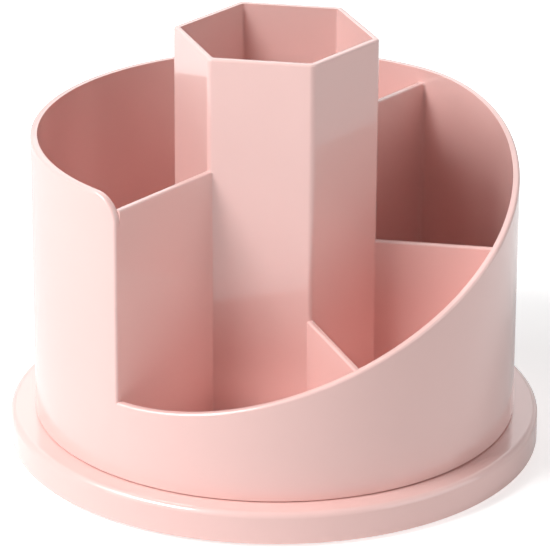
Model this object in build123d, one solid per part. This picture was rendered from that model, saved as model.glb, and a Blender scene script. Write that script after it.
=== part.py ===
from build123d import *
import math
import os

# Pen holder: a round cup with a slanted rim, a six-sided centre tube and four dividers,
# which turns on a round base over a ring of steel balls.
# Millimetres, +Z up. The origin is the centre of the footprint, on the table.
# An azimuth is measured from +X, anticlockwise seen from above.

# Cup
cup_radius = 70.0           # outside
cup_wall = 2.0
floor_thickness = 2.4
floor_to_rim = 77.7         # from the pocket floor to the level half of the rim
rim_fall = 61.1             # how far the slanted half of the rim drops
step_round = 8.0            # rounding at the top of the step, where the level half ends
skirt_edge_round = 0.6      # lower outside edge of the cup
seam_gap = 0.5              # running gap between the cup's lower edge and the base
back_azimuth = 50.4         # direction of the back divider; the step is opposite

# Centre tube, with a corner at each divider
tube_sides = 6
tube_corner_radius = 29.7   # from the axis to a corner before it is rounded
tube_corner_round = 2.0
tube_wall = 1.8
tube_height = 107.0         # from the pocket floor

# Dividers, each with its height from the pocket floor. They stand at the tube's corners in
# this order, clockwise from the back one.
divider_thickness = 2.0
high_divider = 73.6         # the two that part the level half from the slanted half
right_divider = 46.0
front_divider = 30.2
dividers = {
    "divider_back": high_divider,
    "divider_right": right_divider,
    "divider_front": front_divider,
    "divider_step": high_divider,
}

# Base
base_ledge = 7.1            # how far the base stands out round the cup
base_height = 9.5           # from its lower edge to the flat top
base_side_wall = 2.4
base_top_wall = 2.4
base_top_round = 1.8
base_lower_round = 0.5
rib_count = 6
rib_thickness = 1.6
race_backing = 1.0          # extra thickness under the ball race
race_land = 2.0             # how far that thickness reaches past the race on each side

# Cover, the plate that closes the base from below
cover_thickness = 1.6
cover_recess = 0.2          # how far it lies inside the base's lower edge
cover_play = 0.15           # radial

# Feet
foot_stand = 1.0            # how far the feet hold the base's edge off the table
foot_count = 6
foot_radius = 6.0
foot_sunk = 0.8             # depth of the foot's seat in the cover
foot_play = 0.1             # radial
foot_edge = 0.4             # chamfer
foot_inset = 4.7            # from the cover's edge to a foot

# Ball ring
ball_radius = 3.0
ball_count = 12
ball_play = 0.05            # between a ball and each race
race_radius = 48.0
race_ease = 0.3             # how much wider the race's groove is than the ball
race_depth = 1.0
cage_side = 2.0             # from a ball to the cage's edge
cage_thickness = 3.2
cage_play = 0.15            # between a ball and its pocket

# Pivot
hub_radius = 6.0
hub_play = 0.05             # radial, in the bush
bush_wall = 1.45
bush_flange = 2.0           # how far the flange stands out from the bush
bush_flange_thickness = 0.8
boss_wall = 2.5
lift_play = 0.3             # how far the cup lifts before the washer stops it
washer_overlap = 1.4        # how far the washer reaches past the bush
washer_thickness = 0.8
washer_room = 0.4           # round the washer, from the ribs
pivot_screw_radius = 1.5
pivot_screw_length = 9.5
pivot_head_radius = 3.2
pivot_head_height = 1.6
pivot_head_round = 0.5
head_room = 0.4             # from the pivot screw's head to the cover
tip_room = 0.4              # from a screw's tip to the end of its hole
thread_play = 0.02          # radial, in a screw's hole
clearance_hole_play = 0.2   # radial, in the washer and the cover

# Cross recess of both kinds of screw
recess_length = 3.4
recess_width = 0.8
recess_depth = 0.9

# Cover screws, countersunk
cover_screw_count = 3
cover_screw_radius = 1.4
cover_screw_length = 6.0
cover_head_radius = 2.6
cover_head_height = 1.2
cover_screw_inset = 10.4    # from the cover's edge to a screw
screw_boss_wall = 2.0

# Worked out from the sizes above, from the table upwards
base_radius = cup_radius + base_ledge
base_inner_radius = base_radius - base_side_wall
base_bottom_z = foot_stand
base_top_z = base_bottom_z + base_height
base_ceiling_z = base_top_z - base_top_wall
cover_radius = base_inner_radius - cover_play
cover_bottom_z = base_bottom_z + cover_recess
cover_top_z = cover_bottom_z + cover_thickness
foot_circle = cover_radius - foot_inset - foot_radius
cover_screw_circle = cover_radius - cover_screw_inset
pivot_head_z = cover_top_z + head_room
washer_z = pivot_head_z + pivot_head_height
hub_end_z = washer_z + washer_thickness
boss_end_z = hub_end_z + lift_play
bush_bore = hub_radius + hub_play
bush_radius = bush_bore + bush_wall
boss_radius = bush_radius + boss_wall
washer_radius = bush_radius + washer_overlap
ball_z = base_top_z - race_depth + ball_play + ball_radius
race_groove = ball_radius + race_ease
race_half_width = math.sqrt(race_groove**2 - (race_groove - race_depth) ** 2)
floor_bottom_z = ball_z + ball_radius + ball_play - race_depth
floor_top_z = floor_bottom_z + floor_thickness
skirt_z = base_top_z + seam_gap
rim_z = floor_top_z + floor_to_rim
cup_inner_radius = cup_radius - cup_wall
cage_half_width = ball_radius + cage_side
reach = 2 * (cup_radius + floor_to_rim)         # longer than any cut needs to be
same_size = 0.01                                # sizes this close are the same


def disc(radius, low_z, high_z):
    """Upright cylinder on the axis between two heights."""
    base_point = (Align.CENTER, Align.CENTER, Align.MIN)
    return Pos(0, 0, low_z) * Cylinder(radius, high_z - low_z, align=base_point)


def ring(outer_radius, inner_radius, low_z, high_z):
    """Upright tube on the axis between two heights."""
    return disc(outer_radius, low_z, high_z) - disc(inner_radius, low_z, high_z)


def around(count, radius, first_azimuth=0.0):
    """Places evenly spaced on a circle, each turned to face outwards."""
    step = 360.0 / count
    return [Rot(0, 0, first_azimuth + i * step) * Pos(radius, 0, 0) for i in range(count)]


def edges_at(solid, radius, height):
    """The circular edges of one radius at one height."""
    circles = solid.edges().filter_by(GeomType.CIRCLE)
    level = [e for e in circles if abs(e.center().Z - height) < same_size]
    return [e for e in level if abs(e.radius - radius) < same_size]


def race_cut(centre_z):
    """The ring that cuts a race, wider than the balls by race_ease."""
    return Pos(0, 0, centre_z) * Torus(race_radius, race_groove)


def cross_recess(head_z):
    """Cross recess cut upwards into a screw's head from height head_z."""
    base_point = (Align.CENTER, Align.CENTER, Align.MIN)
    slot = Box(recess_length, recess_width, recess_depth, align=base_point)
    return Pos(0, 0, head_z) * (slot + Rot(0, 0, 90) * slot)


# The cup is drawn with its back divider along +X, so the step is at -X, the slanted half of
# the wall on the -Y side and the level half on the +Y side. Then all of it is turned.
def turned(solid):
    return Rot(0, 0, back_azimuth) * solid


def tube_prism(corner_radius, corner_round, low_z, high_z):
    """Upright prism of the tube's outline, with a corner along +X."""
    outline = RegularPolygon(corner_radius, tube_sides)
    outline = fillet(outline.vertices(), corner_round)
    return Pos(0, 0, low_z) * extrude(outline, high_z - low_z)


def slanted_edge(radius):
    """Half an ellipse round the axis. Its height falls from +X to -X as a cosine."""
    half_fall = rim_fall / 2
    tilt = math.atan2(half_fall, radius)
    plane = Plane(
        origin=(0, 0, rim_z - half_fall),
        x_dir=(math.cos(tilt), 0, math.sin(tilt)),
        z_dir=(-math.sin(tilt), 0, math.cos(tilt)),
    )
    long_radius = math.hypot(radius, half_fall)
    return Edge.make_ellipse(long_radius, radius, plane, start_angle=180, end_angle=360)


def below_slanted_rim():
    """The space under the slanted rim, which is level across the wall at each azimuth."""
    inside = slanted_edge(cup_inner_radius - cup_wall)
    outside = slanted_edge(cup_radius + cup_wall)
    rim = Face.make_surface_from_curves(inside, outside)
    return Solid.extrude(rim, Vector(0, 0, -reach))


def below_level_rim():
    """The space under the level rim. At the step it ends at the divider's low side."""
    step_side = -divider_thickness / 2
    outline = Pos(step_side, rim_z) * Rectangle(reach, reach, align=(Align.MIN, Align.MAX))
    corner = outline.vertices().sort_by(Axis.X)[:2].sort_by(Axis.Y)[-1]
    outline = fillet(corner, step_round)
    step_half = extrude(Plane.YZ * outline, -reach)
    back_half = Pos(0, 0, rim_z) * Box(
        reach, reach, reach, align=(Align.MIN, Align.MIN, Align.MAX)
    )
    return step_half + back_half


def cup_shell():
    wall = ring(cup_radius, cup_inner_radius, skirt_z, rim_z)
    shell = wall & below_level_rim()
    shell += wall & below_slanted_rim()
    shell += disc(cup_radius, floor_bottom_z, floor_top_z)
    shell = fillet(edges_at(shell, cup_radius, skirt_z), skirt_edge_round)
    shell -= race_cut(ball_z + ball_play - race_ease)
    shell += disc(hub_radius, hub_end_z, floor_bottom_z)
    hole_end = washer_z + pivot_screw_length + tip_room
    shell -= disc(pivot_screw_radius + thread_play, hub_end_z, hole_end)
    return turned(shell)


def centre_tube():
    top_z = floor_top_z + tube_height
    outside = tube_prism(tube_corner_radius, tube_corner_round, floor_top_z, top_z)
    wall_at_corner = tube_wall / math.cos(math.pi / tube_sides)
    inner_round = max(tube_corner_round - tube_wall, tube_wall / 4)
    inside = tube_prism(
        tube_corner_radius - wall_at_corner, inner_round, floor_top_z, top_z
    )
    return turned(outside - inside)


def divider(corners_past_back, height):
    """Plate from a corner of the tube to the wall."""
    top_z = floor_top_z + height
    plate = Pos(0, 0, floor_top_z) * Box(
        reach, divider_thickness, height, align=(Align.MIN, Align.CENTER, Align.MIN)
    )
    plate &= disc(cup_inner_radius, floor_top_z, top_z)
    plate = Rot(0, 0, -corners_past_back * 360 / tube_sides) * plate
    plate -= tube_prism(tube_corner_radius, tube_corner_round, floor_top_z, top_z)
    return turned(plate)


def base_disc():
    body = disc(base_radius, base_bottom_z, base_top_z)
    body = fillet(edges_at(body, base_radius, base_top_z), base_top_round)
    body = fillet(edges_at(body, base_radius, base_bottom_z), base_lower_round)
    body -= disc(base_inner_radius, base_bottom_z, base_ceiling_z)
    backing = race_half_width + race_land
    body += ring(
        race_radius + backing,
        race_radius - backing,
        base_ceiling_z - race_backing,
        base_ceiling_z,
    )
    body += disc(boss_radius, boss_end_z, base_ceiling_z)
    rib = Pos(0, 0, cover_top_z) * Box(
        base_inner_radius,
        rib_thickness,
        base_ceiling_z - cover_top_z,
        align=(Align.MIN, Align.CENTER, Align.MIN),
    )
    for place in around(rib_count, 0, 180 / rib_count):
        body += place * rib
    body -= disc(washer_radius + washer_room, cover_top_z, boss_end_z)
    boss = disc(cover_screw_radius + screw_boss_wall, cover_top_z, base_ceiling_z)
    hole_end = cover_bottom_z + cover_screw_length + tip_room
    hole = disc(cover_screw_radius + thread_play, cover_top_z, hole_end)
    for place in around(cover_screw_count, cover_screw_circle, 180 / rib_count):
        body += place * boss
        body -= place * hole
    body -= race_cut(ball_z - ball_play + race_ease)
    body -= disc(bush_radius, boss_end_z, base_top_z)
    return body


def base_cover():
    plate = disc(cover_radius, cover_bottom_z, cover_top_z)
    seat = disc(foot_radius + foot_play, cover_bottom_z, cover_bottom_z + foot_sunk)
    for place in around(foot_count, foot_circle):
        plate -= place * seat
    play = clearance_hole_play
    head = Pos(0, 0, cover_bottom_z) * Cone(
        cover_head_radius + play,
        cover_screw_radius + play,
        cover_head_height,
        align=(Align.CENTER, Align.CENTER, Align.MIN),
    )
    hole = head + disc(cover_screw_radius + play, cover_bottom_z, cover_top_z)
    for place in around(cover_screw_count, cover_screw_circle, 180 / rib_count):
        plate -= place * hole
    return plate


def cover_screws():
    screw = Pos(0, 0, cover_bottom_z) * Cone(
        cover_head_radius,
        cover_screw_radius,
        cover_head_height,
        align=(Align.CENTER, Align.CENTER, Align.MIN),
    )
    screw += disc(cover_screw_radius, cover_bottom_z, cover_bottom_z + cover_screw_length)
    screw -= cross_recess(cover_bottom_z)
    places = around(cover_screw_count, cover_screw_circle, 180 / rib_count)
    return Compound([place * screw for place in places])


def foot(place):
    pad = disc(foot_radius, 0, cover_bottom_z + foot_sunk)
    pad = chamfer(edges_at(pad, foot_radius, 0), foot_edge)
    return place * pad


def pivot_bush():
    bush = ring(bush_radius, bush_bore, boss_end_z, base_top_z)
    flange_top_z = base_top_z + bush_flange_thickness
    return bush + ring(bush_radius + bush_flange, bush_bore, base_top_z, flange_top_z)


def retaining_washer():
    hole = pivot_screw_radius + clearance_hole_play
    return ring(washer_radius, hole, washer_z, hub_end_z)


def pivot_screw():
    head = disc(pivot_head_radius, pivot_head_z, washer_z)
    head = fillet(edges_at(head, pivot_head_radius, pivot_head_z), pivot_head_round)
    shank = disc(pivot_screw_radius, washer_z, washer_z + pivot_screw_length)
    return head + shank - cross_recess(pivot_head_z)


def ball_cage():
    half = cage_thickness / 2
    outer = race_radius + cage_half_width
    inner = race_radius - cage_half_width
    cage = ring(outer, inner, ball_z - half, ball_z + half)
    for place in around(ball_count, race_radius):
        cage -= place * Pos(0, 0, ball_z) * Sphere(ball_radius + cage_play)
    return cage


def ball(place):
    return place * Pos(0, 0, ball_z) * Sphere(ball_radius)


def build_parts():
    parts = {
        "cup_shell": cup_shell(),
        "centre_tube": centre_tube(),
        "base_disc": base_disc(),
        "base_cover": base_cover(),
        "cover_screws": cover_screws(),
        "pivot_bush": pivot_bush(),
        "retaining_washer": retaining_washer(),
        "pivot_screw": pivot_screw(),
        "ball_cage": ball_cage(),
    }
    for corners_past_back, (name, height) in enumerate(dividers.items()):
        parts[name] = divider(corners_past_back, height)
    for number, place in enumerate(around(foot_count, foot_circle), start=1):
        parts[f"foot_{number}"] = foot(place)
    for number, place in enumerate(around(ball_count, race_radius), start=1):
        parts[f"ball_{number:02d}"] = ball(place)
    return parts


os.makedirs("parts", exist_ok=True)
for name, solid in build_parts().items():
    export_step(solid, f"parts/{name}.step")
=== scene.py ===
import math

import bmesh
import bpy
from bpy.props import FloatProperty, FloatVectorProperty, IntProperty, PointerProperty
from mathutils import Matrix, Vector


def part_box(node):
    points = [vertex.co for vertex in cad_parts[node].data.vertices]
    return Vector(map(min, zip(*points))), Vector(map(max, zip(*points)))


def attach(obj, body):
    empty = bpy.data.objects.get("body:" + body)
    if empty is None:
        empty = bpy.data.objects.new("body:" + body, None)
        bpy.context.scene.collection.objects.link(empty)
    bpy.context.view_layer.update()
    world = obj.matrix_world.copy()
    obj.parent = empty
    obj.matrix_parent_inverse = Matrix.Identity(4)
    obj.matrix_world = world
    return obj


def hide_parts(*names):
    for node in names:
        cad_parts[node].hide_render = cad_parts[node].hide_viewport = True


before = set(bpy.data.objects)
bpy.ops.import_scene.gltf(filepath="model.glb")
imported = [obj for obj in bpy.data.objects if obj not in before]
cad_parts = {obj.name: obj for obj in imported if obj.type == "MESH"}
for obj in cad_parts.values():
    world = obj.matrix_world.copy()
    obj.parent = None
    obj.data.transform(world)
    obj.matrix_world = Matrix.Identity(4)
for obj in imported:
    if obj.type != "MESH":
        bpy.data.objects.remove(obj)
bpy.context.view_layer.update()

# Pen holder: a round cup with a slanted rim, a six-sided centre tube and four dividers, which
# turns on a round base. Metres, +Z up, the origin at the centre of the footprint.
bl_info = {
    "name": "Pen holder",
    "version": (1, 0, 0),
    "blender": (4, 5, 0),
    "location": "3D View > Sidebar > Pen holder",
    "description": "Round turning pen holder with a centre tube and four dividers",
    "category": "Add Mesh",
}

MM = 0.001
SAME = 0.01 * MM  # sizes this close are the same
POLE = SAME / 100  # radius of a turned shape's last ring, which close_up merges
SHARP = math.radians(30)  # a turn above this is an edge of the piece
HALF_TURN = math.radians(30)  # half of what the tube's outline turns at a corner
SEAM = 0.2 * MM  # room between the cup's lower edge and the base

# Faces round each kind of turned shape
COLUMNS_WIDE = 256
COLUMNS_FOOT = 64
COLUMNS_SEAT = 48
COLUMNS_SCREW = 32

# The pink plastic
PINK_SPREAD = 0.015  # how much its clouds differ in tone
GLOSS_SPREAD = (-0.015, 0.02)  # how much its patches differ in roughness
PLASTIC_IOR = 1.5
COAT_IOR = 1.6

# Patches of gloss and the finest waves, counted against the clouds of tone
PATCHES_PER_CLOUD = 2.6
WAVES_PER_CLOUD = 14.0

# The floor. What is added makes it white, and the shadow of the object stays.
FLOOR_TONE = 0.88
FLOOR_LIFT = 0.6  # added for the camera, near the object
FLOOR_NEAR = 0.4  # metres from the axis, from where more is added
FLOOR_FAR = 2.0  # metres from the axis, from where all of the white is added
FLOOR_SHINE = 0.25  # added for reflections

# Each lamp's name, its azimuth and elevation in degrees, and its size in metres. The stage's
# properties of the same names hold the watts.
LAMPS = (
    ("key", -148, 47, 0.5),
    ("side", -174, 47, 0.6),
    ("front", -140, 15, 1.4),
    ("right", -20, 15, 1.4),
    ("back", 90, 45, 1.4),
    ("below", 0, -90, 0.5),
)


def reach(node):
    """How far a node's solid reaches from the axis."""
    return max(vertex.co.xy.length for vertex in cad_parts[node].data.vertices)


def low(node):
    """The height of a node's lowest point."""
    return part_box(node)[0].z


def high(node):
    """The height of a node's highest point."""
    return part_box(node)[1].z


def azimuth(node):
    """The direction in which a node lies from the axis."""
    middle = sum(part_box(node), Vector()) / 2
    return math.atan2(middle.y, middle.x)


def length(name, description, default):
    """A size in metres that a user can change."""
    return FloatProperty(
        name=name, description=description, default=default, min=0.0,
        subtype="DISTANCE", unit="LENGTH", precision=5,
    )


def direction(name, description, default):
    """An angle that a user can change."""
    return FloatProperty(name=name, description=description, default=default, subtype="ANGLE")


def share(name, description, default):
    """A plain number from 0 to 1."""
    return FloatProperty(name=name, description=description, default=default, min=0.0, max=1.0)


def power(name, description, default):
    """The watts of a lamp."""
    return FloatProperty(
        name=name, description=description, default=default, min=0.0, subtype="POWER", unit="POWER"
    )


def colour(name, description, default):
    """A colour as it is seen on a screen."""
    return FloatVectorProperty(
        name=name, description=description, default=default, size=3, min=0.0, max=1.0,
        subtype="COLOR_GAMMA",
    )


class CupSizes(bpy.types.PropertyGroup):
    radius: length("Radius", "Outside of the cup", reach("cup_shell"))
    wall: length("Wall", "Thickness of the wall", 2.0 * MM)
    rim: length("Rim", "Height of the level half of the rim", high("cup_shell"))
    rim_fall: length("Rim fall", "How far the slanted half of the rim drops", 61.1 * MM)
    step_round: length("Step round", "Rounding at the top of the step", 8.0 * MM)
    rim_round: length("Rim round", "Rounding of the rim's outer edge", 0.8 * MM)
    inner_round: length("Inner round", "Rounding of the rim's inner edge", 0.2 * MM)
    skirt: length("Skirt", "Height of the cup's lower edge", high("base_disc") + SEAM)
    skirt_round: length("Skirt round", "Rounding of the cup's lower edge", 0.3 * MM)
    floor: length("Floor", "Height of the floor of the pockets", low("centre_tube"))
    floor_wall: length("Floor thickness", "Thickness of the floor", 2.4 * MM)
    floor_round: length("Floor round", "Hollow rounding between floor and wall", 0.8 * MM)
    hub: length("Hub", "Radius of the hub under the floor", 6.0 * MM)
    screw_hole: length("Screw hole", "Radius of the hole in the hub", 1.52 * MM)
    hole_past: length("Hole past", "How far that hole goes into the floor", 0.1 * MM)
    turn: direction("Turn", "Direction of the back divider", azimuth("divider_back"))
    columns: IntProperty(name="Columns", description="Faces round the wall", default=256, min=32)


class TubeSizes(bpy.types.PropertyGroup):
    corner_radius: length("Corner radius", "From the axis to a sharp corner", 29.7 * MM)
    corner_round: length("Corner round", "Rounding of the corners outside", 2.0 * MM)
    wall: length("Wall", "Thickness of the wall", 1.8 * MM)
    hollow_round: length("Hollow round", "Rounding of the corners inside", 1.0 * MM)
    top: length("Top", "Height of the tube's mouth", high("centre_tube"))
    rim_round: length("Rim round", "Rounding of the mouth's outer edge", 0.7 * MM)
    inner_round: length("Inner round", "Rounding of the mouth's inner edge", 0.2 * MM)
    sunk: length("Sunk", "How far the tube's foot goes into the floor", 0.2 * MM)


class DividerSizes(bpy.types.PropertyGroup):
    thickness: length("Thickness", "Thickness of a divider", 2.0 * MM)
    top_round: length("Top round", "Rounding of the top edges", 0.6 * MM)
    tube_fillet: length("Tube fillet", "Hollow rounding at the tube", 1.0 * MM)
    wall_fillet: length("Wall fillet", "Hollow rounding at the wall", 1.0 * MM)
    sunk: length("Sunk", "How far a divider goes into its neighbours", 0.2 * MM)


class BaseSizes(bpy.types.PropertyGroup):
    radius: length("Radius", "Outside of the base", reach("base_disc"))
    top: length("Top", "Height of the flat ledge", high("base_disc"))
    bottom: length("Bottom", "Height of the lower edge", low("base_disc"))
    top_round: length("Top round", "Rounding of the upper edge", 1.8 * MM)
    lower_round: length("Lower round", "Rounding of the lower edge", 0.5 * MM)
    side_wall: length("Side wall", "Thickness of the side", 2.4 * MM)
    top_wall: length("Top wall", "Thickness under the ledge", 2.4 * MM)
    rib: length("Rib", "Thickness of a rib underneath", 1.6 * MM)
    ribs: IntProperty(name="Ribs", description="Ribs underneath", default=6, min=3)
    boss_wall: length("Boss wall", "Thickness of the boss round the bush", 2.5 * MM)
    race_backing: length("Race backing", "Extra thickness under the ball race", 1.0 * MM)
    race_land: length("Race land", "How far that reaches past the race", 2.0 * MM)
    bush_flange: length("Bush flange", "How far the bush's flange stands out", 2.0 * MM)
    sunk: length("Sunk", "How far a rib goes into its neighbours", 0.2 * MM)


class CoverSizes(bpy.types.PropertyGroup):
    radius: length("Radius", "Outside of the cover", reach("base_cover"))
    edge_round: length("Edge round", "Rounding of the cover's edge", 0.3 * MM)
    play: length("Play", "Room round a screw", 0.2 * MM)
    screws: IntProperty(name="Screws", description="Screws in the cover", default=3, min=2)
    screw_turn: direction("Screw turn", "Direction of the first screw", math.radians(30))
    screw_radius: length("Screw radius", "Shank of a cover screw", 1.4 * MM)
    head_radius: length("Head radius", "Head of a cover screw", 2.6 * MM)
    head_height: length("Head height", "Height of a cover screw's head", 1.2 * MM)
    screw_boss: length("Screw boss", "Plastic round a cover screw", 2.0 * MM)


class FootSizes(bpy.types.PropertyGroup):
    count: IntProperty(name="Feet", description="Feet under the cover", default=6, min=3)
    radius: length("Radius", "Outside of a foot", 6.0 * MM)
    play: length("Play", "Room round a foot in its seat", 0.1 * MM)
    edge_round: length("Edge round", "Rounding of a foot's lower edge", 0.4 * MM)


class BearingSizes(bpy.types.PropertyGroup):
    race_radius: length("Race radius", "Circle of the balls' centres", 48.0 * MM)
    race_depth: length("Race depth", "Depth of each groove", 1.0 * MM)
    race_groove: length("Race groove", "Radius of each groove", 3.3 * MM)


class Finish(bpy.types.PropertyGroup):
    pink: colour("Pink plastic", "Cup, tube, dividers and base", (0.972, 0.802, 0.778))
    natural: colour("Natural plastic", "Cover, bush and ball cage", (0.86, 0.85, 0.81))
    polished: colour("Polished steel", "Balls", (0.78, 0.78, 0.79))
    plated: colour("Plated steel", "Screws and washer", (0.66, 0.67, 0.68))
    rubber: colour("Rubber", "Feet", (0.12, 0.12, 0.12))
    gloss: share("Gloss roughness", "Roughness of the pink plastic", 0.3)
    coat: share("Clear gloss", "Strength of the clear reflections on the pink plastic", 0.9)
    coat_roughness: share("Clear gloss roughness", "Roughness of those reflections", 0.05)


class StageSizes(bpy.types.PropertyGroup):
    camera_height: length("Camera height", "Height of the camera", 490.41 * MM)
    camera_distance: length("Camera distance", "Level distance to the axis", 1062.46 * MM)
    camera_pitch: direction("Camera pitch", "How far the camera looks down", math.radians(22.5225))
    camera_roll: direction("Camera roll", "How far the camera leans", math.radians(0.2885))
    lens: FloatProperty(name="Lens", description="Focal length in millimetres", default=259.807)
    floor_radius: length("Floor radius", "Size of the floor", 6.0)
    lamp_distance: length("Lamp distance", "From the lamps to the object", 1600 * MM)
    aim: length("Aim", "Height that the lamps point at", 60 * MM)
    key: power("Key light", "Main light, from the front left", 19.0)
    side: power("Side light", "Light from the left", 6.0)
    front: power("Front light", "Low soft light from the front left", 5.0)
    right: power("Right light", "Low soft light from the right", 7.2)
    back: power("Back light", "Soft light from behind", 4.5)
    below: power("Low light", "Light from under the floor", 4.0)
    sky: share("Sky", "Light from all round", 0.02)


# Mesh helpers


def verts_of(made):
    """The vertices in what a mesh operator made."""
    return [part for part in made["geom"] if isinstance(part, bmesh.types.BMVert)]


def edges_of(made):
    """The edges in what a mesh operator made."""
    return [part for part in made["geom"] if isinstance(part, bmesh.types.BMEdge)]


def from_axis(vert):
    """How far a vertex is from the axis."""
    return vert.co.xy.length


def bevel_edges(bm, edges, offset, segments):
    """Rounds edges. The offset is how far the rounding reaches from each edge."""
    bmesh.ops.bevel(
        bm, geom=edges, offset=offset, offset_type="OFFSET", segments=segments, profile=0.5,
        affect="EDGES", material=-1, clamp_overlap=False, loop_slide=False,
    )


def bevel_corners(bm, verts, offset, segments):
    """Rounds the corners of a flat face."""
    bmesh.ops.bevel(
        bm, geom=verts, offset=offset, offset_type="OFFSET", segments=segments, profile=0.5,
        affect="VERTICES", material=-1, clamp_overlap=False,
    )


def level_edges(bm, height):
    """The edges that lie at one height."""
    return [
        edge for edge in bm.edges if all(abs(vert.co.z - height) < SAME for vert in edge.verts)
    ]


def ring_edges(bm, radius, height):
    """The edges of a turned shape that lie on one circle round the axis."""
    return [
        edge for edge in level_edges(bm, height)
        if all(abs(from_axis(vert) - radius) < SAME for vert in edge.verts)
    ]


def close_up(bm):
    """Merges seams and poles and turns all faces outwards."""
    bmesh.ops.remove_doubles(bm, verts=bm.verts[:], dist=0.5 * SAME)
    bmesh.ops.recalc_face_normals(bm, faces=bm.faces[:])


def around(count, radius, first=0.0):
    """Points evenly spaced on a circle round the axis."""
    turns = [first + math.tau * number / count for number in range(count)]
    return [Vector((radius * math.cos(turn), radius * math.sin(turn), 0)) for turn in turns]


def circle(bm, centre, radius, height, columns):
    """A ring of edges."""
    place = Matrix.Translation((centre[0], centre[1], height))
    made = bmesh.ops.create_circle(bm, segments=columns, radius=radius, matrix=place)
    return list({edge for vert in made["verts"] for edge in vert.link_edges})


def turned(bm, profile, columns, closed=False, centre=(0, 0, 0)):
    """Spins an outline of (radius, height) points round an upright line."""
    centre = Vector(centre)
    verts = [bm.verts.new(centre + Vector((radius, 0, height))) for radius, height in profile]
    edges = [bm.edges.new(pair) for pair in zip(verts, verts[1:])]
    if closed:
        edges.append(bm.edges.new((verts[-1], verts[0])))
    bmesh.ops.spin(
        bm, geom=verts + edges, cent=centre, axis=(0, 0, 1), angle=math.tau,
        steps=columns, use_merge=True, use_duplicate=False,
    )
    close_up(bm)


def sweep(bm, loop, outline, centre=(0, 0, 0)):
    """Extrudes a ring of edges through circles, each given by a radius and a height. Returns
    the last ring."""
    centre = Vector(centre)
    for radius, height in outline:
        made = bmesh.ops.extrude_edge_only(bm, edges=loop)
        verts = verts_of(made)
        new = set(verts)
        loop = [edge for edge in edges_of(made) if edge.verts[0] in new and edge.verts[1] in new]
        growth = radius / (verts[0].co - centre).xy.length
        lift = height - verts[0].co.z
        place = Matrix.Translation(-centre)
        bmesh.ops.scale(bm, verts=verts, vec=(growth, growth, 1), space=place)
        bmesh.ops.translate(bm, verts=verts, vec=(0, 0, lift))
    return loop


def race_outline(bearing, face_z, side, steps=8):
    """A groove's points from its inner to its outer edge. side is 1 above the balls, -1 below."""
    centre_z = face_z - side * (bearing.race_groove - bearing.race_depth)
    half_width = math.sqrt(bearing.race_groove**2 - (face_z - centre_z) ** 2)
    widest = math.asin(half_width / bearing.race_groove)
    points = []
    for step in range(steps + 1):
        angle = widest * (2 * step / steps - 1)
        radius = bearing.race_radius + bearing.race_groove * math.sin(angle)
        points.append((radius, centre_z + side * bearing.race_groove * math.cos(angle)))
    return points


def dress(material, *nodes):
    """Gives CAD nodes a material."""
    for name in nodes:
        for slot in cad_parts[name].material_slots:
            slot.material = material


def new_piece(name, bm, body, slot, material, *nodes):
    """Turns a mesh into a piece that rides on a body and stands for CAD nodes."""
    for face in bm.faces:
        face.smooth = True
    for edge in bm.edges:
        edge.smooth = len(edge.link_faces) != 2 or edge.calc_face_angle() < SHARP
    mesh = bpy.data.meshes.new(name)
    bm.to_mesh(mesh)
    bm.free()
    mesh.materials.append(material)
    piece = bpy.data.objects.new(name, mesh)
    bpy.context.scene.collection.objects.link(piece)
    even = piece.modifiers.new("Even shading", "WEIGHTED_NORMAL")
    even.keep_sharp = True
    even.weight = 100
    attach(piece, body)
    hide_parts(*nodes)
    return piece


# Materials


def node(tree, kind, inputs=None, **settings):
    """Adds a shader node. An input is a value, or the output of another node."""
    made = tree.nodes.new(kind)
    for key, value in settings.items():
        setattr(made, key, value)
    for key, value in (inputs or {}).items():
        if isinstance(value, bpy.types.NodeSocket):
            tree.links.new(value, made.inputs[key])
        else:
            made.inputs[key].default_value = value
    return made


def calculated(tree, operation, *values):
    """The output of a calculation with values and outputs."""
    return node(tree, "ShaderNodeMath", dict(enumerate(values)), operation=operation).outputs[0]


def noise(tree, place, scale, **settings):
    """The grey values of a noise."""
    inputs = {"Vector": place, "Scale": scale, **settings}
    return node(tree, "ShaderNodeTexNoise", inputs).outputs["Fac"]


def group(name, inputs, outputs):
    """An empty shader node group, with its input and output nodes."""
    tree = bpy.data.node_groups.new(name, "ShaderNodeTree")
    for key, kind, default in inputs:
        socket = tree.interface.new_socket(name=key, in_out="INPUT", socket_type=kind)
        if default is not None:
            socket.default_value = default
    for key, kind in outputs:
        tree.interface.new_socket(name=key, in_out="OUTPUT", socket_type=kind)
    return tree, tree.nodes.new("NodeGroupInput").outputs, tree.nodes.new("NodeGroupOutput").inputs


def moulding_marks():
    """Cloudy tone, patches of gloss and the fine waviness of a moulded surface."""
    name = "moulding_marks"
    if name in bpy.data.node_groups:
        return bpy.data.node_groups[name]
    tree, given, result = group(
        name,
        [("Vector", "NodeSocketVector", None), ("Size", "NodeSocketFloat", 0.02)],
        [("Tone", "NodeSocketFloat"), ("Gloss", "NodeSocketFloat"), ("Height", "NodeSocketFloat")],
    )
    place = given["Vector"]
    scale = calculated(tree, "DIVIDE", 1.0, given["Size"])
    finer = calculated(tree, "MULTIPLY", scale, PATCHES_PER_CLOUD)
    finest = calculated(tree, "MULTIPLY", scale, WAVES_PER_CLOUD)
    clouds = noise(tree, place, scale, Detail=3.0, Roughness=0.55)
    patches = noise(tree, place, finer, Detail=5.0, Distortion=0.4)
    waves = noise(tree, place, finest, Detail=2.0, Roughness=0.4)
    tree.links.new(clouds, result["Tone"])
    tree.links.new(patches, result["Gloss"])
    tree.links.new(waves, result["Height"])
    return tree


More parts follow.
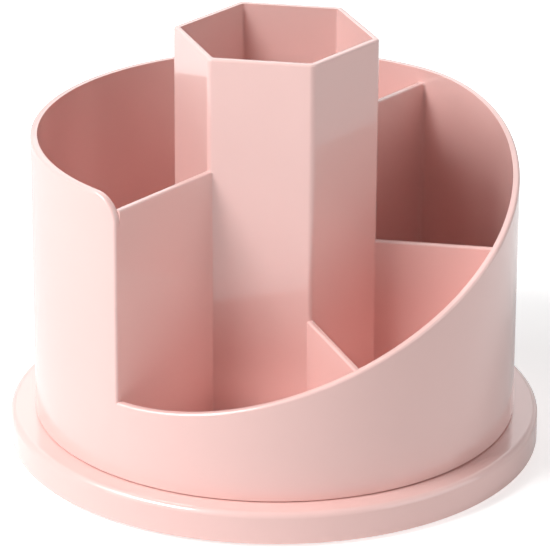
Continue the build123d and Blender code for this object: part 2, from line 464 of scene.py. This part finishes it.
def fine_scratches():
    """Short hairlines in many directions, as handling leaves on a smooth surface."""
    name = "fine_scratches"
    if name in bpy.data.node_groups:
        return bpy.data.node_groups[name]
    tree, given, result = group(
        name,
        [("Vector", "NodeSocketVector", None), ("Scale", "NodeSocketFloat", 300.0)],
        [("Mask", "NodeSocketFloat")],
    )
    masks = []
    for turn, stretch in ((0.4, 40.0), (1.9, 55.0)):
        place = node(
            tree, "ShaderNodeMapping",
            {"Vector": given["Vector"], "Rotation": (turn, 0.3 * turn, turn),
             "Scale": (1.0, stretch, 1.0)},
        )
        lines = noise(tree, place.outputs[0], given["Scale"], Detail=1.0)
        thin = node(
            tree, "ShaderNodeMapRange", {"Value": lines, "From Min": 0.66, "From Max": 0.78}
        )
        masks.append(thin.outputs[0])
    tree.links.new(calculated(tree, "MAXIMUM", *masks), result["Mask"])
    return tree


def linear(seen, factor=1.0):
    """A colour as seen on a screen, scaled, in the shader's own linear values."""
    values = []
    for part in seen:
        part = part / 12.92 if part <= 0.04045 else ((part + 0.055) / 1.055) ** 2.4
        values.append(min(1.0, part * factor))
    return (*values, 1.0)


def new_material(name):
    """A material with its node tree, its Principled BSDF and Object coordinates."""
    material = bpy.data.materials.new(name)
    material.use_nodes = True
    tree = material.node_tree
    shader = tree.nodes["Principled BSDF"]
    place = tree.nodes.new("ShaderNodeTexCoord").outputs["Object"]
    return material, tree, shader, place


def marked(tree, place, size):
    """The outputs of the moulding marks, with clouds of a given size."""
    inputs = {"Vector": place, "Size": size}
    return node(tree, "ShaderNodeGroup", inputs, node_tree=moulding_marks()).outputs


def scratched(tree, place, scale):
    """The mask of the fine scratches."""
    inputs = {"Vector": place, "Scale": scale}
    return node(tree, "ShaderNodeGroup", inputs, node_tree=fine_scratches()).outputs["Mask"]


def bumped(tree, height, strength, distance, invert=False):
    """The normal of a surface with small heights."""
    inputs = {"Height": height, "Strength": strength, "Distance": distance}
    return node(tree, "ShaderNodeBump", inputs, invert=invert).outputs["Normal"]


def join_up(tree, shader, tone, roughness, normal):
    """Gives a shader its three varying inputs."""
    tree.links.new(tone, shader.inputs["Base Color"])
    tree.links.new(roughness, shader.inputs["Roughness"])
    tree.links.new(normal, shader.inputs["Normal"])


def glossy_plastic(finish):
    """The pink plastic: smooth, with clear soft reflections, moulded in its colour."""
    name = "Glossy pink plastic"
    if name in bpy.data.materials:
        return bpy.data.materials[name]
    material, tree, shader, place = new_material(name)
    marks = marked(tree, place, 22 * MM)
    darker, lighter = 1 - PINK_SPREAD, 1 + PINK_SPREAD
    tone = mixed(tree, marks["Tone"], linear(finish.pink, darker), linear(finish.pink, lighter))
    gloss = ranged(tree, marks["Gloss"], *(finish.gloss + part for part in GLOSS_SPREAD))
    join_up(tree, shader, tone, gloss, bumped(tree, marks["Height"], 0.06, 0.02 * MM))
    shader.inputs["IOR"].default_value = PLASTIC_IOR
    shader.inputs["Coat Weight"].default_value = finish.coat
    shader.inputs["Coat Roughness"].default_value = finish.coat_roughness
    shader.inputs["Coat IOR"].default_value = COAT_IOR
    return material


def mixed(tree, factor, first, second):
    """A colour between two others."""
    inputs = {"Factor": factor, "A": first, "B": second}
    return node(tree, "ShaderNodeMix", inputs, data_type="RGBA").outputs["Result"]


def ranged(tree, value, low_end, high_end):
    """Stretches a noise's middle values over a range."""
    middle = {"Value": value, "From Min": 0.3, "From Max": 0.7}
    inputs = {**middle, "To Min": low_end, "To Max": high_end}
    return node(tree, "ShaderNodeMapRange", inputs).outputs["Result"]


def satin_plastic(finish):
    """The uncoloured plastic of the cover, the bush and the ball cage, with a fine grain."""
    name = "Satin natural plastic"
    if name in bpy.data.materials:
        return bpy.data.materials[name]
    material, tree, shader, place = new_material(name)
    marks = marked(tree, place, 8 * MM)
    rubbed = scratched(tree, place, 220.0)
    tone = mixed(tree, marks["Tone"], linear(finish.natural, 0.93), linear(finish.natural, 1.03))
    tone = mixed(tree, rubbed, tone, linear(finish.natural, 1.1))
    grain = noise(tree, place, 1 / (0.35 * MM), Detail=2.0)
    gloss = ranged(tree, marks["Gloss"], 0.42, 0.58)
    join_up(tree, shader, tone, gloss, bumped(tree, grain, 0.35, 0.03 * MM))
    return material


def steel(name, seen, roughness):
    """Bright steel with a cloudy finish and fine scratches."""
    if name in bpy.data.materials:
        return bpy.data.materials[name]
    material, tree, shader, place = new_material(name)
    marks = marked(tree, place, 2 * MM)
    scratches = scratched(tree, place, 900.0)
    tone = mixed(tree, marks["Tone"], linear(seen, 0.88), linear(seen, 1.06))
    gloss = ranged(tree, marks["Gloss"], 0.8 * roughness, 1.3 * roughness)
    rough = calculated(tree, "ADD", gloss, calculated(tree, "MULTIPLY", scratches, 0.12))
    join_up(tree, shader, tone, rough, bumped(tree, scratches, 0.2, 0.01 * MM, invert=True))
    shader.inputs["Metallic"].default_value = 1.0
    return material


def matt_rubber(finish):
    """Dark rubber with a fine grain and a little pale dust."""
    name = "Matt rubber"
    if name in bpy.data.materials:
        return bpy.data.materials[name]
    material, tree, shader, place = new_material(name)
    marks = marked(tree, place, 5 * MM)
    specks = noise(tree, place, 1 / (0.6 * MM), Detail=4.0, Roughness=0.7)
    dust = node(
        tree, "ShaderNodeMapRange",
        {"Value": specks, "From Min": 0.56, "From Max": 0.75, "To Max": 0.3},
    ).outputs["Result"]
    tone = mixed(tree, marks["Tone"], linear(finish.rubber, 0.75), linear(finish.rubber, 1.3))
    tone = mixed(tree, dust, tone, linear((0.62, 0.6, 0.58)))
    gloss = ranged(tree, marks["Gloss"], 0.68, 0.86)
    join_up(tree, shader, tone, gloss, bumped(tree, specks, 0.5, 0.05 * MM))
    shader.inputs["Sheen Weight"].default_value = 0.15
    return material


# Pieces


class PENHOLDER_OT_cup(bpy.types.Operator):
    """Add the cup: its wall with the level and the slanted half of the rim, and its floor"""

    bl_idname = "penholder.cup"
    bl_label = "Cup"

    def execute(self, context):
        scene = context.scene
        cup, plate = scene.penholder_cup, scene.penholder_dividers.thickness
        bm = bmesh.new()
        foot = cup.floor + cup.floor_round
        wall_outside(bm, cup, plate / 2, foot)
        wall_thickness(bm, cup, plate / 2, foot)
        cup_floor(bm, cup, scene.penholder_bearing, foot)
        inside = cup.radius - cup.wall
        bevel_edges(bm, rim_edges(bm, cup.radius, foot), cup.rim_round, segments=4)
        inner = [edge for edge in rim_edges(bm, inside, foot) if not upright(edge)]
        bevel_edges(bm, inner, cup.inner_round, segments=2)
        split_at_step(bm, cup.radius, plate / 2 - cup.rim_round, foot)
        split_at_step(bm, inside, plate / 2, foot)
        bmesh.ops.rotate(bm, verts=bm.verts[:], matrix=Matrix.Rotation(cup.turn, 3, "Z"))
        material = glossy_plastic(scene.penholder_finish)
        new_piece("cup", bm, "cup", "pink_plastic", material, "cup_shell")
        return {"FINISHED"}


def slanted_height(cup, angle):
    """Height of the slanted half of the rim, from the back divider round to the step."""
    return cup.rim - cup.rim_fall / 2 * (1 - math.cos(angle))


def wall_outside(bm, cup, step_side, foot):
    """The wall's outer face. It is cut as a flat sheet, x the way round and z the height, and
    then rolled. The back divider is at angle 0."""
    step = math.pi + math.asin(step_side / cup.radius)
    step_x = step * cup.radius
    end_x = math.tau * cup.radius
    corners = (
        (0, foot), (end_x, foot), (end_x, cup.rim),
        (step_x, slanted_height(cup, step)), (step_x, cup.rim), (0, cup.rim),
    )
    verts = [bm.verts.new((x, 0, z)) for x, z in corners]
    bm.faces.new(verts)
    bevel_corners(bm, [verts[4]], cup.step_round, segments=14)
    # The rim's rounding needs room beside a column, so none is near the step's sharp end or in
    # the steep part of its arc.
    room = 1.5 * cup.rim_round
    arc_x = step_x - cup.step_round
    steep_x = step_x - 3.1 * cup.rim_round
    even = [end_x * column / cup.columns for column in range(1, cup.columns)]
    columns = [x for x in even if x < arc_x - room or x > step_x + room]
    columns += [vert.co.x for vert in bm.verts if arc_x - SAME < vert.co.x < steep_x]
    for x in columns:
        bmesh.ops.bisect_plane(
            bm, geom=bm.verts[:] + bm.edges[:] + bm.faces[:], dist=SAME / 10,
            plane_co=(x, 0, 0), plane_no=(1, 0, 0),
        )
    for vert in bm.verts:
        if vert.co.x > step_x + SAME and vert.co.z > foot + SAME:
            vert.co.z = slanted_height(cup, vert.co.x / cup.radius)
    for vert in bm.verts:
        angle = vert.co.x / cup.radius
        vert.co.x = cup.radius * math.cos(angle)
        vert.co.y = cup.radius * math.sin(angle)
    bmesh.ops.remove_doubles(bm, verts=bm.verts[:], dist=SAME)


def wall_thickness(bm, cup, step_side, foot):
    """Gives the wall its inner face, level with the outer one, and opens it below."""
    made = bmesh.ops.extrude_face_region(bm, geom=bm.faces[:], use_keep_orig=True)
    inner = verts_of(made)
    inside = cup.radius - cup.wall
    bmesh.ops.scale(bm, verts=inner, vec=(inside / cup.radius, inside / cup.radius, 1))
    end = -step_side * inside / cup.radius
    for vert in inner:
        if vert.co.x < 0 and abs(vert.co.y - end) < SAME:
            vert.co.y = -step_side
    below = [face for face in bm.faces if all(vert.co.z < foot + SAME for vert in face.verts)]
    bmesh.ops.delete(bm, geom=below, context="FACES_KEEP_BOUNDARY")


def cup_floor(bm, cup, bearing, foot):
    """Closes the cup below: the skirt, the underside with its race and hub, and the floor."""
    inside = cup.radius - cup.wall
    under = cup.floor - cup.floor_wall
    hub_end = low("cup_shell")
    hole_end = under + cup.hole_past
    outer_loop = ring_edges(bm, cup.radius, foot)
    inner_loop = ring_edges(bm, inside, foot)
    skirt = [(cup.radius, cup.skirt), (inside, cup.skirt), (inside, under)]
    hub = [(cup.hub, under), (cup.hub, hub_end), (cup.screw_hole, hub_end)]
    hole = [(cup.screw_hole, hole_end), (POLE, hole_end)]
    race = race_outline(bearing, under, 1)[::-1]
    sweep(bm, outer_loop, skirt + race + hub + hole)
    fillet = []
    parts = 5
    for part in range(1, parts + 1):
        angle = math.pi / 2 * part / parts
        fillet.append((
            inside - cup.floor_round * (1 - math.cos(angle)),
            foot - cup.floor_round * math.sin(angle),
        ))
    sweep(bm, inner_loop, fillet + [(POLE, cup.floor)])
    close_up(bm)
    bevel_edges(bm, ring_edges(bm, cup.radius, cup.skirt), cup.skirt_round, segments=3)


def rim_edges(bm, radius, foot):
    """The edges of the rim and the step on the wall's outer or inner face."""
    found = []
    for edge in bm.edges:
        on_wall = all(
            abs(from_axis(vert) - radius) < SAME and vert.co.z > foot + SAME
            for vert in edge.verts
        )
        if on_wall and edge.calc_face_angle() > SHARP:
            found.append(edge)
    return found


def upright(edge):
    """True for an edge that stands upright."""
    along = edge.verts[0].co - edge.verts[1].co
    return along.xy.length < 0.01 * abs(along.z)


def split_at_step(bm, radius, side, foot):
    """Cuts the face that goes round the foot of the step in two, below the step's edge."""
    clear, snap = 10 * SAME, 8 * SAME
    for face in bm.faces[:]:
        sides = [-vert.co.y - side for vert in face.verts]
        on_wall = all(abs(from_axis(vert) - radius) < 2 * SAME for vert in face.verts)
        from_foot = any(vert.co.z < foot + SAME for vert in face.verts)
        if on_wall and from_foot and face.calc_center_median().x < 0:
            if min(sides) < -clear and max(sides) > clear:
                bmesh.ops.bisect_plane(
                    bm, geom=[face, *face.edges, *face.verts], dist=snap,
                    plane_co=(0, -side, 0), plane_no=(0, 1, 0),
                )


def tube_outline(bm, corner_radius, corner_round, height):
    """Draws a ring of edges round the axis with six rounded corners, one along +X, and returns
    its edges."""
    made = bmesh.ops.create_circle(bm, cap_ends=True, segments=6, radius=corner_radius)
    verts = made["verts"]
    bmesh.ops.rotate(bm, verts=verts, matrix=Matrix.Rotation(math.pi / 2, 3, "Z"))
    bmesh.ops.translate(bm, verts=verts, vec=(0, 0, height))
    bevel_corners(bm, verts, corner_round * math.tan(HALF_TURN), segments=8)
    face = next(face for face in bm.faces if face.calc_center_median().xy.length < SAME)
    edges = list(face.edges)
    bmesh.ops.delete(bm, geom=[face], context="FACES_ONLY")
    return edges


class PENHOLDER_OT_tube(bpy.types.Operator):
    """Add the six-sided centre tube"""

    bl_idname = "penholder.tube"
    bl_label = "Centre tube"

    def execute(self, context):
        scene = context.scene
        tube = scene.penholder_tube
        hollow_radius = tube.corner_radius - tube.wall / math.cos(HALF_TURN)
        bm = bmesh.new()
        outside = tube_outline(bm, tube.corner_radius, tube.corner_round, tube.top)
        inside = tube_outline(bm, hollow_radius, tube.hollow_round, tube.top)
        bridged = bmesh.ops.bridge_loops(bm, edges=outside + inside)
        made = bmesh.ops.extrude_face_region(bm, geom=bridged["faces"], use_keep_orig=True)
        foot = scene.penholder_cup.floor - tube.sunk
        bmesh.ops.translate(bm, verts=verts_of(made), vec=(0, 0, foot - tube.top))
        close_up(bm)
        bevel_edges(bm, mouth_edges(bm, tube, False), tube.rim_round, segments=4)
        bevel_edges(bm, mouth_edges(bm, tube, True), tube.inner_round, segments=2)
        turn = Matrix.Rotation(scene.penholder_cup.turn, 3, "Z")
        bmesh.ops.rotate(bm, verts=bm.verts[:], matrix=turn)
        material = glossy_plastic(scene.penholder_finish)
        new_piece("tube", bm, "cup", "pink_plastic", material, "centre_tube")
        return {"FINISHED"}


def mouth_edges(bm, tube, inner):
    """The outer or inner edges of the tube's mouth."""
    found = []
    for edge in level_edges(bm, tube.top):
        if edge.calc_face_angle() > SHARP:
            side = next(face for face in edge.link_faces if abs(face.normal.z) < 0.5)
            faces_axis = side.normal.dot(side.calc_center_median()) < 0
            if faces_axis == inner:
                found.append(edge)
    return found


def divider_end(cup, plate):
    """How far from the axis a divider's corners meet the wall's inner face."""
    return math.sqrt((cup.radius - cup.wall) ** 2 - (plate.thickness / 2) ** 2)


def divider_outline(cup, tube, plate, flush):
    """One divider seen from above, along +X. The rim is low on the +Y side of the step divider,
    and there it ends flush with the wall. Returns the points and the rounding at each."""
    half = plate.thickness / 2
    slope = math.pi / 2 + HALF_TURN
    along = Vector((math.cos(slope), math.sin(slope)))
    inward = Vector((-along.y, along.x))
    joint = Vector((tube.corner_radius - half * math.tan(HALF_TURN), half))
    flare = joint + along * 1.5 * plate.tube_fillet + inward * plate.sunk
    wall_x = divider_end(cup, plate)
    buried = half + 2.2 * plate.wall_fillet
    upper = [
        (Vector((joint.x - tube.wall, half)), 0),
        (flare, 0),
        (joint, plate.tube_fillet),
        (Vector((wall_x, half)), plate.wall_fillet),
        (Vector((wall_x, buried)), 0),
        (Vector((wall_x + cup.wall / 2, buried)), 0),
    ]
    lower = [(Vector((point.x, -point.y)), rounding) for point, rounding in upper]
    if flush:
        upper[3:] = [(Vector((wall_x, half)), 0)]
        lower[5] = (Vector((wall_x + cup.wall / 4, -buried)), 0)
    return lower + upper[::-1]


class PENHOLDER_OT_dividers(bpy.types.Operator):
    """Add the four dividers between the tube and the wall"""

    bl_idname = "penholder.dividers"
    bl_label = "Dividers"

    def execute(self, context):
        scene = context.scene
        cup, tube, plate = scene.penholder_cup, scene.penholder_tube, scene.penholder_dividers
        material = glossy_plastic(scene.penholder_finish)
        names = ("divider_back", "divider_right", "divider_front", "divider_step")
        for corner, name in enumerate(names):
            bm = bmesh.new()
            outline = divider_outline(cup, tube, plate, name == "divider_step")
            verts = [bm.verts.new((point.x, point.y, high(name))) for point, _ in outline]
            bm.faces.new(verts)
            for vert, (_, rounding) in zip(verts, outline):
                if rounding:
                    bevel_corners(bm, [vert], rounding * math.tan(bend_at(vert) / 2), segments=5)
            made = bmesh.ops.extrude_face_region(bm, geom=bm.faces[:], use_keep_orig=True)
            foot = cup.floor - plate.sunk
            bmesh.ops.translate(bm, verts=verts_of(made), vec=(0, 0, foot - high(name)))
            close_up(bm)
            top = [
                edge for edge in level_edges(bm, high(name))
                if edge.calc_face_angle() > SHARP and runs_free(edge, cup, tube, plate)
            ]
            bevel_edges(bm, top, plate.top_round, segments=4)
            turn = Matrix.Rotation(cup.turn - corner * 2 * HALF_TURN, 3, "Z")
            bmesh.ops.rotate(bm, verts=bm.verts[:], matrix=turn)
            new_piece("plate_" + name, bm, "cup", "pink_plastic", material, name)
        return {"FINISHED"}


def bend_at(vert):
    """How far the outline turns at one of its points."""
    first, second = (edge.other_vert(vert).co - vert.co for edge in vert.link_edges)
    return math.pi - first.angle(second)


def runs_free(edge, cup, tube, plate):
    """True for a top edge of a divider that isn't inside the tube or the wall."""
    start = tube.corner_radius - tube.wall
    end = divider_end(cup, plate) - SAME
    beside = all(abs(vert.co.y) < 3 * plate.thickness for vert in edge.verts)
    return beside and not all(vert.co.x > end or vert.co.x < start for vert in edge.verts)


class PENHOLDER_OT_base(bpy.types.Operator):
    """Add the round base with its ribs and its race"""

    bl_idname = "penholder.base"
    bl_label = "Base"

    def execute(self, context):
        scene = context.scene
        base, bearing = scene.penholder_base, scene.penholder_bearing
        inside = base.radius - base.side_wall
        ceiling = base.top - base.top_wall
        bush = reach("pivot_bush") - base.bush_flange
        boss = bush + base.boss_wall
        race = race_outline(bearing, base.top, -1)
        backing_in = race[0][0] - base.race_land
        backing_out = race[-1][0] + base.race_land
        backing = ceiling - base.race_backing
        outline = [
            (base.radius, base.bottom), (base.radius, base.top), *race[::-1],
            (bush, base.top), (bush, low("pivot_bush")), (boss, low("pivot_bush")),
            (boss, ceiling), (backing_in, ceiling), (backing_in, backing),
            (backing_out, backing), (backing_out, ceiling), (inside, ceiling),
            (inside, base.bottom),
        ]
        bm = bmesh.new()
        turned(bm, outline, COLUMNS_WIDE, closed=True)
        bevel_edges(bm, ring_edges(bm, base.radius, base.top), base.top_round, segments=8)
        bevel_edges(bm, ring_edges(bm, base.radius, base.bottom), base.lower_round, segments=3)
        base_ribs(bm, base, boss, inside, ceiling)
        screw_bosses(bm, scene.penholder_cover, ceiling)
        material = glossy_plastic(scene.penholder_finish)
        new_piece("base", bm, "base", "pink_plastic", material, "base_disc")
        return {"FINISHED"}


def base_ribs(bm, base, start, end, ceiling):
    """Upright ribs under the base, from the boss to the side. They go a little into both."""
    long = end - start + 2 * base.sunk
    tall = ceiling + base.sunk - high("base_cover")
    size = Matrix.Diagonal((long, base.rib, tall, 1))
    middle = Matrix.Translation(((start + end) / 2, 0, high("base_cover") + tall / 2))
    for number in range(base.ribs):
        turn = Matrix.Rotation(math.tau * (number + 0.5) / base.ribs, 4, "Z")
        bmesh.ops.create_cube(bm, size=1, matrix=turn @ middle @ size)


def screw_places(cover):
    """Where the cover's screws are."""
    return around(cover.screws, reach("cover_screws") - cover.head_radius, cover.screw_turn)


def screw_bosses(bm, cover, ceiling):
    """The bosses under the base that the cover's screws go into."""
    hole = cover.screw_radius
    outside = cover.screw_radius + cover.screw_boss
    foot, end = high("base_cover"), high("cover_screws")
    outline = [
        (0, end), (hole, end), (hole, foot), (outside, foot), (outside, ceiling), (0, ceiling)
    ]
    for place in screw_places(cover):
        turned(bm, outline, COLUMNS_SCREW, centre=place)


class PENHOLDER_OT_cover(bpy.types.Operator):
    """Add the plate that closes the base from below"""

    bl_idname = "penholder.cover"
    bl_label = "Cover"

    def execute(self, context):
        scene = context.scene
        cover, foot = scene.penholder_cover, scene.penholder_feet
        bottom, top = low("base_cover"), high("base_cover")
        bm = bmesh.new()
        outer = circle(bm, (0, 0), cover.radius, bottom, COLUMNS_WIDE)
        lower = list(outer)
        upper = sweep(bm, outer, [(cover.radius, top)])
        seat = foot.radius + foot.play
        for place in foot_places(foot):
            mouth = circle(bm, place, seat, bottom, COLUMNS_SEAT)
            end = sweep(bm, mouth, [(seat, high("foot_1"))], place)
            bmesh.ops.edgeloop_fill(bm, edges=end)
            lower += mouth
        hole = cover.screw_radius + cover.play
        for place in screw_places(cover):
            mouth = circle(bm, place, cover.head_radius + cover.play, bottom, COLUMNS_SCREW)
            lower += mouth
            upper += sweep(bm, mouth, [(hole, bottom + cover.head_height), (hole, top)], place)
        for edges in (lower, upper):
            bmesh.ops.triangle_fill(bm, use_beauty=True, use_dissolve=True, edges=edges)
        close_up(bm)
        rim = ring_edges(bm, cover.radius, bottom) + ring_edges(bm, cover.radius, top)
        bevel_edges(bm, rim, cover.edge_round, segments=3)
        material = satin_plastic(scene.penholder_finish)
        new_piece("cover", bm, "base", "natural_plastic", material, "base_cover")
        return {"FINISHED"}


def foot_places(foot):
    """Where the feet are."""
    return around(foot.count, reach("foot_1") - foot.radius)


class PENHOLDER_OT_feet(bpy.types.Operator):
    """Add the rubber feet"""

    bl_idname = "penholder.feet"
    bl_label = "Feet"

    def execute(self, context):
        scene = context.scene
        foot = scene.penholder_feet
        material = matt_rubber(scene.penholder_finish)
        for number, place in enumerate(foot_places(foot), start=1):
            name = f"foot_{number}"
            bm = bmesh.new()
            tread = circle(bm, place, foot.radius, low(name), COLUMNS_FOOT)
            upper = sweep(bm, tread, [(foot.radius, high(name))], place)
            for edges in (tread, upper):
                bmesh.ops.edgeloop_fill(bm, edges=edges)
            close_up(bm)
            bevel_edges(bm, level_edges(bm, low(name)), foot.edge_round, segments=4)
            new_piece(f"rubber_{name}", bm, "base", "foot_rubber", material, name)
        return {"FINISHED"}


class PENHOLDER_OT_screws(bpy.types.Operator):
    """Finish the screws of the cover"""

    bl_idname = "penholder.screws"
    bl_label = "Cover screws"

    def execute(self, context):
        finish = context.scene.penholder_finish
        dress(steel("Plated steel", finish.plated, 0.28), "cover_screws")
        return {"FINISHED"}


class PENHOLDER_OT_pivot(bpy.types.Operator):
    """Finish the bush, the washer and the screw that the cup turns on"""

    bl_idname = "penholder.pivot"
    bl_label = "Pivot"

    def execute(self, context):
        finish = context.scene.penholder_finish
        dress(satin_plastic(finish), "pivot_bush")
        dress(steel("Plated steel", finish.plated, 0.28), "retaining_washer", "pivot_screw")
        return {"FINISHED"}


class PENHOLDER_OT_ball_ring(bpy.types.Operator):
    """Finish the ball ring: its cage and its steel balls"""

    bl_idname = "penholder.ball_ring"
    bl_label = "Ball ring"

    def execute(self, context):
        finish = context.scene.penholder_finish
        balls = [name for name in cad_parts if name.startswith("ball_") and name[5:].isdigit()]
        dress(satin_plastic(finish), "ball_cage")
        dress(steel("Polished steel", finish.polished, 0.1), *balls)
        return {"FINISHED"}


# Stage


def white_floor():
    """A pale floor that shows white to the camera and keeps the object's shadow. From below it
    is clear, and the lamp under it shines through."""
    material = bpy.data.materials.new("Pale floor")
    material.use_nodes = True
    tree = material.node_tree
    tree.nodes.clear()
    result = tree.nodes.new("ShaderNodeOutputMaterial")
    matt = node(
        tree, "ShaderNodeBsdfDiffuse", {"Color": (FLOOR_TONE, FLOOR_TONE, FLOOR_TONE, 1)}
    )
    seen = tree.nodes.new("ShaderNodeLightPath").outputs
    spot = tree.nodes.new("ShaderNodeTexCoord").outputs["Object"]
    away = node(tree, "ShaderNodeVectorMath", {0: spot}, operation="LENGTH").outputs["Value"]
    needed = node(
        tree, "ShaderNodeMapRange",
        {"Value": away, "From Min": FLOOR_NEAR, "From Max": FLOOR_FAR, "To Min": FLOOR_LIFT},
    ).outputs["Result"]
    lift = calculated(tree, "MULTIPLY", seen["Is Camera Ray"], needed)
    lift = calculated(tree, "MULTIPLY_ADD", seen["Is Glossy Ray"], FLOOR_SHINE, lift)
    glow = node(tree, "ShaderNodeEmission", {"Strength": lift})
    white = node(tree, "ShaderNodeAddShader", {0: matt.outputs[0], 1: glow.outputs[0]})
    clear = tree.nodes.new("ShaderNodeBsdfTransparent")
    under = tree.nodes.new("ShaderNodeNewGeometry").outputs["Backfacing"]
    open_to = calculated(tree, "MAXIMUM", under, seen["Is Shadow Ray"])
    shown = node(
        tree, "ShaderNodeMixShader", {0: open_to, 1: white.outputs[0], 2: clear.outputs[0]}
    )
    tree.links.new(shown.outputs[0], result.inputs["Surface"])
    return material


def area_light(stage, name, azimuth, elevation, size, watts):
    """A soft square light that looks at the object, with its direction given in degrees."""
    turn, rise = math.radians(azimuth), math.radians(elevation)
    level = math.cos(rise)
    towards = Vector((level * math.cos(turn), level * math.sin(turn), math.sin(rise)))
    lamp = bpy.data.lights.new(name, "AREA")
    lamp.shape = "SQUARE"
    lamp.size = size
    lamp.energy = watts
    light = bpy.data.objects.new(name, lamp)
    light.location = Vector((0, 0, stage.aim)) + stage.lamp_distance * towards
    light.rotation_euler = towards.to_track_quat("Z", "Y").to_euler()
    bpy.context.scene.collection.objects.link(light)


class PENHOLDER_OT_stage(bpy.types.Operator):
    """Add the floor, the lights and the camera"""

    bl_idname = "penholder.stage"
    bl_label = "Stage"

    def execute(self, context):
        scene = context.scene
        stage = scene.penholder_stage
        bm = bmesh.new()
        bmesh.ops.create_circle(bm, cap_ends=True, segments=96, radius=stage.floor_radius)
        mesh = bpy.data.meshes.new("floor")
        bm.to_mesh(mesh)
        bm.free()
        mesh.materials.append(white_floor())
        floor = bpy.data.objects.new("floor", mesh)
        scene.collection.objects.link(floor)
        for name, azimuth, elevation, size in LAMPS:
            area_light(stage, name, azimuth, elevation, size, getattr(stage, name))
        pale_world(stage.sky)
        camera = bpy.data.objects.new("camera", bpy.data.cameras.new("camera"))
        camera.data.sensor_width = 36
        camera.data.lens = stage.lens
        tilt = Matrix.Rotation(math.pi / 2 - stage.camera_pitch, 4, "X")
        lean = Matrix.Rotation(stage.camera_roll, 4, "Z")
        place = Matrix.Translation((0, -stage.camera_distance, stage.camera_height))
        camera.matrix_world = place @ tilt @ lean
        scene.collection.objects.link(camera)
        scene.camera = camera
        scene.view_settings.view_transform = "Standard"
        return {"FINISHED"}


def pale_world(strength):
    """Even light from all round. The camera and glossy surfaces see it white."""
    world = bpy.data.worlds.new("Pale surroundings")
    bpy.context.scene.world = world
    world.use_nodes = True
    tree = world.node_tree
    seen = tree.nodes.new("ShaderNodeLightPath").outputs
    either = calculated(tree, "MAXIMUM", seen["Is Camera Ray"], seen["Is Glossy Ray"])
    level = node(tree, "ShaderNodeMapRange", {"Value": either, "To Min": strength})
    background = tree.nodes["Background"]
    background.inputs["Color"].default_value = (1, 1, 1, 1)
    tree.links.new(level.outputs["Result"], background.inputs["Strength"])


class PENHOLDER_PT_panel(bpy.types.Panel):
    """The pieces of the pen holder"""

    bl_idname = "PENHOLDER_PT_panel"
    bl_label = "Pen holder"
    bl_space_type = "VIEW_3D"
    bl_region_type = "UI"
    bl_category = "Pen holder"

    def draw(self, context):
        for operator in OPERATORS:
            self.layout.operator(operator.bl_idname)


GROUPS = {
    "penholder_cup": CupSizes,
    "penholder_tube": TubeSizes,
    "penholder_dividers": DividerSizes,
    "penholder_base": BaseSizes,
    "penholder_cover": CoverSizes,
    "penholder_feet": FootSizes,
    "penholder_bearing": BearingSizes,
    "penholder_finish": Finish,
    "penholder_stage": StageSizes,
}
OPERATORS = (
    PENHOLDER_OT_stage,
    PENHOLDER_OT_cup,
    PENHOLDER_OT_tube,
    PENHOLDER_OT_dividers,
    PENHOLDER_OT_base,
    PENHOLDER_OT_cover,
    PENHOLDER_OT_feet,
    PENHOLDER_OT_screws,
    PENHOLDER_OT_pivot,
    PENHOLDER_OT_ball_ring,
)


def register():
    for cls in (*GROUPS.values(), *OPERATORS, PENHOLDER_PT_panel):
        bpy.utils.register_class(cls)
    for name, cls in GROUPS.items():
        setattr(bpy.types.Scene, name, PointerProperty(type=cls))


def unregister():
    for name in GROUPS:
        delattr(bpy.types.Scene, name)
    for cls in (PENHOLDER_PT_panel, *reversed(OPERATORS), *reversed(GROUPS.values())):
        bpy.utils.unregister_class(cls)


def main():
    register()
    bpy.ops.penholder.stage()
    bpy.ops.penholder.cup()
    bpy.ops.penholder.tube()
    bpy.ops.penholder.dividers()
    bpy.ops.penholder.base()
    bpy.ops.penholder.cover()
    bpy.ops.penholder.feet()
    bpy.ops.penholder.screws()
    bpy.ops.penholder.pivot()
    bpy.ops.penholder.ball_ring()


if __name__ == "__main__":
    main()
